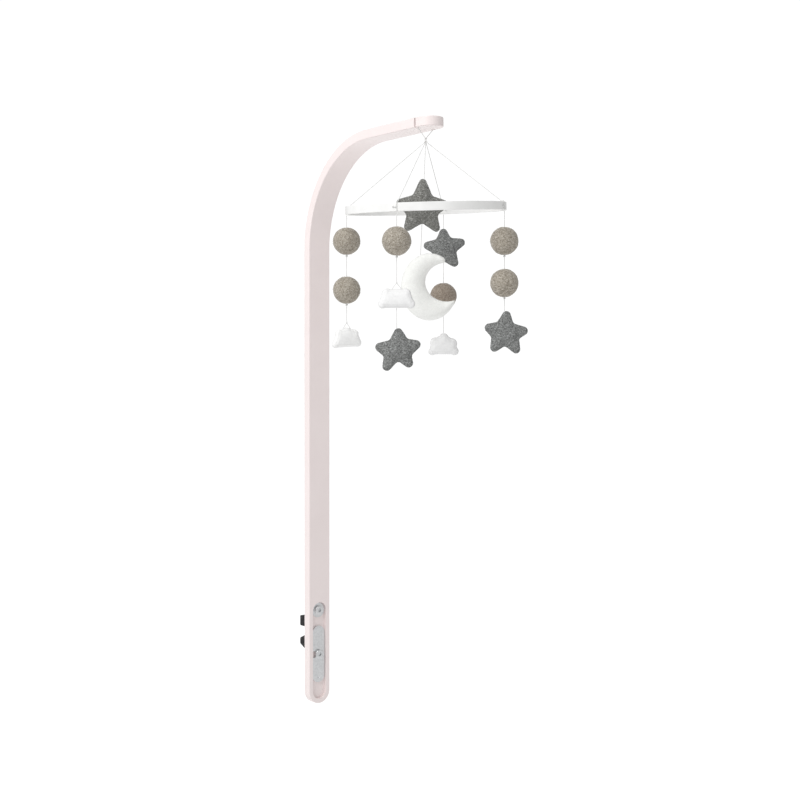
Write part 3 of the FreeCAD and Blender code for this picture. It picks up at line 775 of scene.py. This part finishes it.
def toy_matrix(joint, middle_z, turn_deg=0.0, aside=0.0):
    """A toy's own frame in the row frame: X across its face, Y through it and Z up."""
    line = JOINT_AT[joint]
    turn = Matrix.Rotation(TOY_TURN + math.radians(turn_deg), 4, "Z")
    at = Vector((line.x, line.y, middle_z)) + turn @ Vector((aside * MM, 0, 0))
    return Matrix.Translation(at) @ turn


def toy_mesh(name, outline, thick, place, seed, step, making):
    """A sewn and stuffed toy's mesh, and its seam's points in the row frame."""
    points, faces, seam = two_panels(outline, step)
    blown = eased(inflate(points, faces, seam, making["slack"]), faces, 2)
    points = fitted(blown, thick, making["crown"])
    mesh = mesh_from(name, [place @ (p * MM) for p in points], faces)
    holder = bpy.data.objects.new(name + "_fine", mesh)
    bpy.context.scene.collection.objects.link(holder)
    finer = holder.modifiers.new("finer", "SUBSURF")
    finer.levels = 2
    finer.render_levels = 2
    fine = bpy.data.meshes.new_from_object(holder.evaluated_get(bpy.context.evaluated_depsgraph_get()))
    fine.name = name
    bpy.data.objects.remove(holder)
    bpy.data.meshes.remove(mesh)
    edge = [place @ (points[i] * MM) for i in range(seam)]
    mark_seam(fine, edge, making["sewn"])
    felted(fine, seed)
    return fine, edge


def stitch_mesh(name, edge, away, every, deep, thread):
    """Overcast stitches round a seam. Each goes in at the front, over the edge and in at the back."""
    points, faces = [], []
    loop = evenly(edge + edge[:1], every)[:-1]
    count = len(loop)
    for i, here in enumerate(loop):
        along = (loop[(i + 1) % count] - loop[i - 1]).normalized()
        inward = along.cross(away)
        lean = along * every * 0.22
        line = []
        for k in range(7):
            angle = math.pi * (k / 6 - 0.5)
            reach = inward * (1 - math.cos(angle)) * deep + away * math.sin(angle) * deep * 0.62
            line.append(here - inward * thread * 0.35 + reach + lean * (k / 3 - 1))
        tube(points, faces, spun_frames(line), thread / 2, 5)
    return mesh_from(name, points, faces)


# Each toy's height is given over the pole's foot.
POLE_FOOT = Vector((28.2, 0, -141.5)) * MM


def height(over_foot):
    """A height over the pole's foot, in millimetres, as a height in the row frame."""
    return POLE_FOOT.z + over_foot * MM


# How each kind of toy is made. Its felt is larger than its outline by slack, its faces are flatter with a
# crown below 1, each stitch has its spacing, reach and thread in millimetres, and mark_seam explains sewn.
# The third number of each line of sewing sets how much shade is painted along it.
MAKING = {
    "star": {"slot": "grey_felt", "slack": 0.03, "crown": 0.85, "stitch": (2.4, 1.1, 0.3),
             "sewn": [(0.0, 1.6, 1.0, 0.0)]},
    "cloud": {"slot": "white_felt", "slack": 0.012, "crown": 0.42, "stitch": (2.2, 1.1, 0.3),
              "sewn": [(0.0, 4.0, 0.6, 0.0), (7.2, 0.5, 0.3, 0.5)]},
    "moon": {"slot": "cream_felt", "slack": 0.008, "crown": 0.6, "stitch": (2.2, 1.2, 0.35),
             "sewn": [(0.0, 2.4, 0.8, 0.0)]},
}

# Each star: its radius, its thickness, the height of its middle and its turn on its cord, in degrees.
STARS = {
    "star_p2": (SMALL_STAR, 18.0, 607.8, 0.0),
    "star_p3": (SMALL_STAR, 18.0, 774.4, 0.0),
    "star_p4": (SMALL_STAR, 18.0, 633.9, 0.0),
    "centre_star": (54.2, 22.0, 826.6, 25.0),
}
STAR_STEP = 1.5  # how far apart the points of a small star's mesh are
# Each cloud: the height of its middle and its turn on its cord.
CLOUDS = {"cloud_p1": (626.2, 31.0), "cloud_p2": (683.2, 0.0), "cloud_p3": (616.8, 0.0)}
CLOUD_THICK = 15.0
CLOUD_STEP = 1.3
MOON_HEIGHT = 705.1
MOON_ASIDE = 13.9  # how far the moon's middle lies beside its cord
MOON_THICK = 24.0
MOON_STEP = 1.8


def make_toy(name, outline, thick, place, wool, seed, step, making):
    mesh, edge = toy_mesh("felt_" + name, outline, thick, place, seed, step, making)
    slot = making["slot"]
    toy = new_object("felt_" + name, mesh, MATERIALS[wool], slot, name, name + "_cover", name + "_stuffing")
    add_fuzz(toy, wool, slot, name, TOY_FUZZ, seed)
    away = (place.to_3x3() @ Vector((0, 1, 0))).normalized()
    sewing = stitch_mesh("stitches_" + name, edge, away, *(size * MM for size in making["stitch"]))
    new_object("stitches_" + name, sewing, MATERIALS[wool], slot, name)


def make_stars():
    for seed, (name, (star_r, thick, middle, turn)) in enumerate(STARS.items(), 1):
        step = STAR_STEP * (star_r / SMALL_STAR)
        place = toy_matrix("turn_" + name, height(middle), turn)
        wool = "umber" if name == "centre_star" else "grey"
        make_toy(name, star_outline(name, star_r, step), thick, place, wool, seed, step, MAKING["star"])


def make_clouds():
    for seed, (name, (middle, turn)) in enumerate(CLOUDS.items(), 11):
        place = toy_matrix("turn_" + name, height(middle), turn)
        # Painted light: cloud_p1 takes the brighter copy of the white felt, to offset the shade on its turned
        # face.
        wool = "painted_lit_white" if name == "cloud_p1" else "white"
        outline = cloud_outline(name, CLOUD_STEP)
        make_toy(name, outline, CLOUD_THICK, place, wool, seed, CLOUD_STEP, MAKING["cloud"])


def make_moon():
    place = toy_matrix("turn_moon", height(MOON_HEIGHT), aside=MOON_ASIDE)
    make_toy("moon", moon_outline(MOON_STEP), MOON_THICK, place, "cream", 21, MOON_STEP, MAKING["moon"])


# ---- where the cords run ----
RIGHT = Vector((math.cos(TOY_TURN), math.sin(TOY_TURN), 0))
AWAY = Vector((-math.sin(TOY_TURN), math.cos(TOY_TURN), 0))
# The ring hangs a little out of level.
RING_TIP = Matrix.Rotation(math.radians(3.8), 3, RIGHT) @ Matrix.Rotation(math.radians(-1.6), 3, AWAY)
RING_MIDDLE = (Vector(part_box("ring")[0]) + Vector(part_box("ring")[1])) / 2
# The way up that is square to the arm, which is nearly level at its tip.
ARM_UP = Vector((-math.cos(math.radians(88.8)), 0, math.sin(math.radians(88.8))))
# Where each outer cord meets the ring, in degrees round it.
HANG_DEG = {"p1": 222.6, "p2": 302.0, "p3": 128.6, "p4": 34.0}
RING_INSIDE = 121.0
RING_OUTSIDE = 125.0
LOOP_HALF_WIDE = 15.0  # from the arm's middle to the loop's cord in its notches
LOOP_HALF_TALL = 7.75  # from the arm's middle to its underside, where the loop's legs start
THREAD_DROP = {"cloud_p1": 2.0, "cloud_p2": 0.5}  # how far a cloud's thread sags below its CAD peak


def middle_of(node):
    low, high = map(Vector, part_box(node))
    return (low + high) / 2


def ends_of(node):
    """The top and bottom of an upright cord's CAD rod."""
    low, high = map(Vector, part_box(node))
    x, y = (low.x + high.x) / 2, (low.y + high.y) / 2
    return Vector((x, y, high.z)), Vector((x, y, low.z))


def make_loop():
    """The loop over the arm, in its notches, and the two legs that it hangs from."""
    wide, tall = LOOP_HALF_WIDE, LOOP_HALF_TALL
    swing = JOINT_AT["loop_swing"]
    middle = swing + ARM_UP * tall * MM
    rising = [(wide, -tall), (wide, -2), (wide, 4), (wide + 0.05, 8.2), (wide - 0.4, 8.65), (9, 8.5),
              (3, 8.5)]
    sides = [(-y, z) for y, z in rising] + rising[::-1]
    route = [middle + Vector((0, y * MM, 0)) + ARM_UP * z * MM for y, z in sides]
    rope("loop_cord", route, "arm", "loop_over_arm")
    knot = middle_of("loop_knot")
    for name, side in (("near_loop_leg", -1), ("far_loop_leg", 1)):
        top = swing + Vector((0, side * wide * MM, 0))
        top += (knot - top).normalized() * 0.2 * MM
        rope(name + "_cord", straight(top, knot), "loop", name)
    new_object("tied_loop_knot", knot_mesh("tied_loop_knot", [knot], 2.1 * MM), MATERIALS["cord"], "cord",
               "loop", "loop_knot")
    gather = middle_of("gathering_knot")
    new_object("tied_gathering_knot", knot_mesh("tied_gathering_knot", [gather], 2.3 * MM), MATERIALS["cord"],
               "cord", "gathering", "gathering_knot")


def on_band(name, radius, rise, aside_deg=0.0):
    """A point by a cord's place on the ring, at a radius from its axis and a height from its middle."""
    out = spoke(HANG_DEG[name] + aside_deg, radius)
    return RING_MIDDLE + RING_TIP @ Vector((out.x, out.y, rise)) * MM


def hitch_lines(name):
    """Over the band's edge and down its outside, and the tail aside and through its hole to a knot."""
    out = RING_OUTSIDE + 0.7
    over = [on_band(name, RING_INSIDE + 0.4, 7.2), on_band(name, RING_INSIDE + 2.4, 7.35),
            on_band(name, out - 0.3, 7.4), on_band(name, out + 0.05, 6.9), on_band(name, out, 4.5),
            on_band(name, out, -1.0), on_band(name, out, -6.1)]
    inside = on_band(name, RING_INSIDE - 0.9, 0.0, -2.5)
    tail = [on_band(name, out, 1.2), on_band(name, out + 0.1, 0.3, -0.3), on_band(name, out + 0.1, 0.0, -1.4),
            on_band(name, out, 0.0, -2.4), on_band(name, out - 2.0, 0.0, -2.5), inside]
    return over, tail, inside


def make_ring_cords():
    knot = middle_of("gathering_knot")
    points, faces = [], []
    for name in STRINGS:
        over, tail, inside = hitch_lines(name)
        start = knot + (over[0] - knot).normalized() * 2.0 * MM
        rope("suspension_cord_" + name, straight(start, over[0]), "ring", "suspension_" + name)
        twisted(points, faces, smooth_line(over))
        twisted(points, faces, smooth_line(tail))
        tube(points, faces, spun_frames(knot_line(inside, 1.5 * MM)), 0.54 * MM, 8)
    new_object("ring_hitch_cords", mesh_from("ring_hitch_cords", points, faces), MATERIALS["cord"], "cord",
               "ring", "ring_hitches")


def make_hanging_cords():
    for name in STRINGS:
        body = "string_" + name
        top, foot = ends_of("cord_" + name)
        if "cloud_" + name in THREAD_DROP:
            foot.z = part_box(f"cloud_{name}_hanger")[1][2] - THREAD_DROP["cloud_" + name] * MM
        balls = [n for n in (1, 2) if f"ball_{name}_{n}" in frame["nodes"]]
        centres = [Vector((top.x, top.y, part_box(f"ball_{name}_{n}")[0][2] - 1.5 * MM)) for n in balls]
        knots = new_object("stop_knots_" + name, knot_mesh("stop_knots_" + name, centres, 1.8 * MM),
                           MATERIALS["cord"], "cord", body, "knots_" + name)
        rope("hanging_cord_" + name, straight(top, foot), body, "cord_" + name)
    top, foot = JOINT_AT["swing_centre"], JOINT_AT["turn_moon"]
    top = top + (foot - top).normalized() * 2.3 * MM
    rope("hanging_cord_centre", straight(top, foot), "centre_string", "cord_centre")
    top, foot = ends_of("cord_p2_lower")
    rope("lower_cord_p2", straight(top, foot), "cloud_p2", "cord_p2_lower")


def make_hangers():
    """A thread from each cloud's shoulders up to its cord's end, tied there."""
    for node in ("cloud_p1", "cloud_p2"):
        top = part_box(node + "_hanger")[1][2]
        line = JOINT_AT["turn_" + node]
        turn = TOY_TURN + math.radians(CLOUDS[node][1])
        across = Vector((math.cos(turn), math.sin(turn), 0)) * 8.0 * MM
        peak = Vector((line.x, line.y, top - THREAD_DROP[node] * MM))
        foot = Vector((line.x, line.y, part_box(node + "_hanger")[0][2] - 1.5 * MM))
        route = [foot - across, (foot - across).lerp(peak, 0.5), (foot - across).lerp(peak, 0.96),
                 (foot + across).lerp(peak, 0.96), (foot + across).lerp(peak, 0.5), foot + across]
        points, faces = [], []
        tube(points, faces, spun_frames(evenly(smooth_line(route), 0.6 * MM)), 0.5 * MM, 8)
        tube(points, faces, spun_frames(knot_line(peak, 1.3 * MM)), 0.46 * MM, 8)
        new_object("thread_" + node, mesh_from("thread_" + node, points, faces), MATERIALS["cord"], "cord",
                   node, node + "_hanger")


# ---- the set ----
ROOM_LIGHT = 0.47
LAMP_WIDE = 2.5
LAMP_WATTS = 92
FLOOR_Z = -0.95
FLOOR_HALF = 30


def make_floor():
    """A pale floor, as far below the clamp as a nursery's is below a crib's rail. It glows white far back."""
    corners = [(-1, -1), (1, -1), (1, 1), (-1, 1)]
    mesh = mesh_from("floor", [(x * FLOOR_HALF, y * FLOOR_HALF, FLOOR_Z) for x, y in corners], [(0, 1, 2, 3)])
    floor = bpy.data.objects.new("floor", mesh)
    bpy.context.scene.collection.objects.link(floor)
    n = Nodes("pale_floor")
    where = n.tree.nodes.new("ShaderNodeTexCoord")
    back = n.add("ShaderNodeVectorMath")
    back.operation = "DOT_PRODUCT"
    n.set(back, 0, where.outputs["Object"])
    n.set(back, 1, AWAY)
    n.set(n.shader, "Emission Color", (1, 1, 1, 1))
    n.set(n.shader, "Emission Strength", n.ramp(back.outputs["Value"], 0.8, 2.2, 0.28, 0.62))
    mesh.materials.append(n.finish((0.93, 0.93, 0.93), 0.9, specular=0.1))


def area_light(name, at, target, size, power):
    data = bpy.data.lights.new(name, "AREA")
    data.shape = "SQUARE"
    data.size = size
    data.energy = power
    light = bpy.data.objects.new(name, data)
    bpy.context.scene.collection.objects.link(light)
    light.location = at
    light.rotation_mode = "QUATERNION"
    light.rotation_quaternion = (Vector(target) - Vector(at)).to_track_quat("-Z", "Y")


def make_light():
    """A softly lit white room, and one big lamp high on the camera's left."""
    world = bpy.data.worlds.new("studio")
    world.use_nodes = True
    tree = world.node_tree
    seen = tree.nodes.new("ShaderNodeLightPath")
    strength = tree.nodes.new("ShaderNodeMapRange")
    strength.inputs["To Min"].default_value = ROOM_LIGHT
    strength.inputs["To Max"].default_value = 1.05
    tree.links.new(seen.outputs["Is Camera Ray"], strength.inputs["Value"])
    tree.links.new(strength.outputs["Result"], tree.nodes["Background"].inputs["Strength"])
    tree.nodes["Background"].inputs["Color"].default_value = (1, 1, 1, 1)
    bpy.context.scene.world = world
    centre = (CAD_BOX[0] + CAD_BOX[1]) / 2
    left = centre - RIGHT * 1.53 - AWAY * 1.95 + UP * 2.6
    area_light("key", left, centre, LAMP_WIDE, LAMP_WATTS)
    bpy.context.scene.view_settings.view_transform = "Standard"


def make_camera():
    data = bpy.data.cameras.new("camera")
    data.lens = 64.7
    data.sensor_width = 36.0
    data.shift_y = -0.05
    camera = bpy.data.objects.new("camera", data)
    bpy.context.scene.collection.objects.link(camera)
    camera.location = (2.0800, -1.3758, 0.4674)
    camera.rotation_euler = (math.radians(90 - 0.44), 0, math.radians(52.95))
    bpy.context.scene.camera = camera


make_camera()
make_loop()
make_ring_cords()
make_hanging_cords()
make_hangers()
dress_cad()
make_balls()
make_stars()
make_clouds()
make_moon()
make_floor()
make_light()
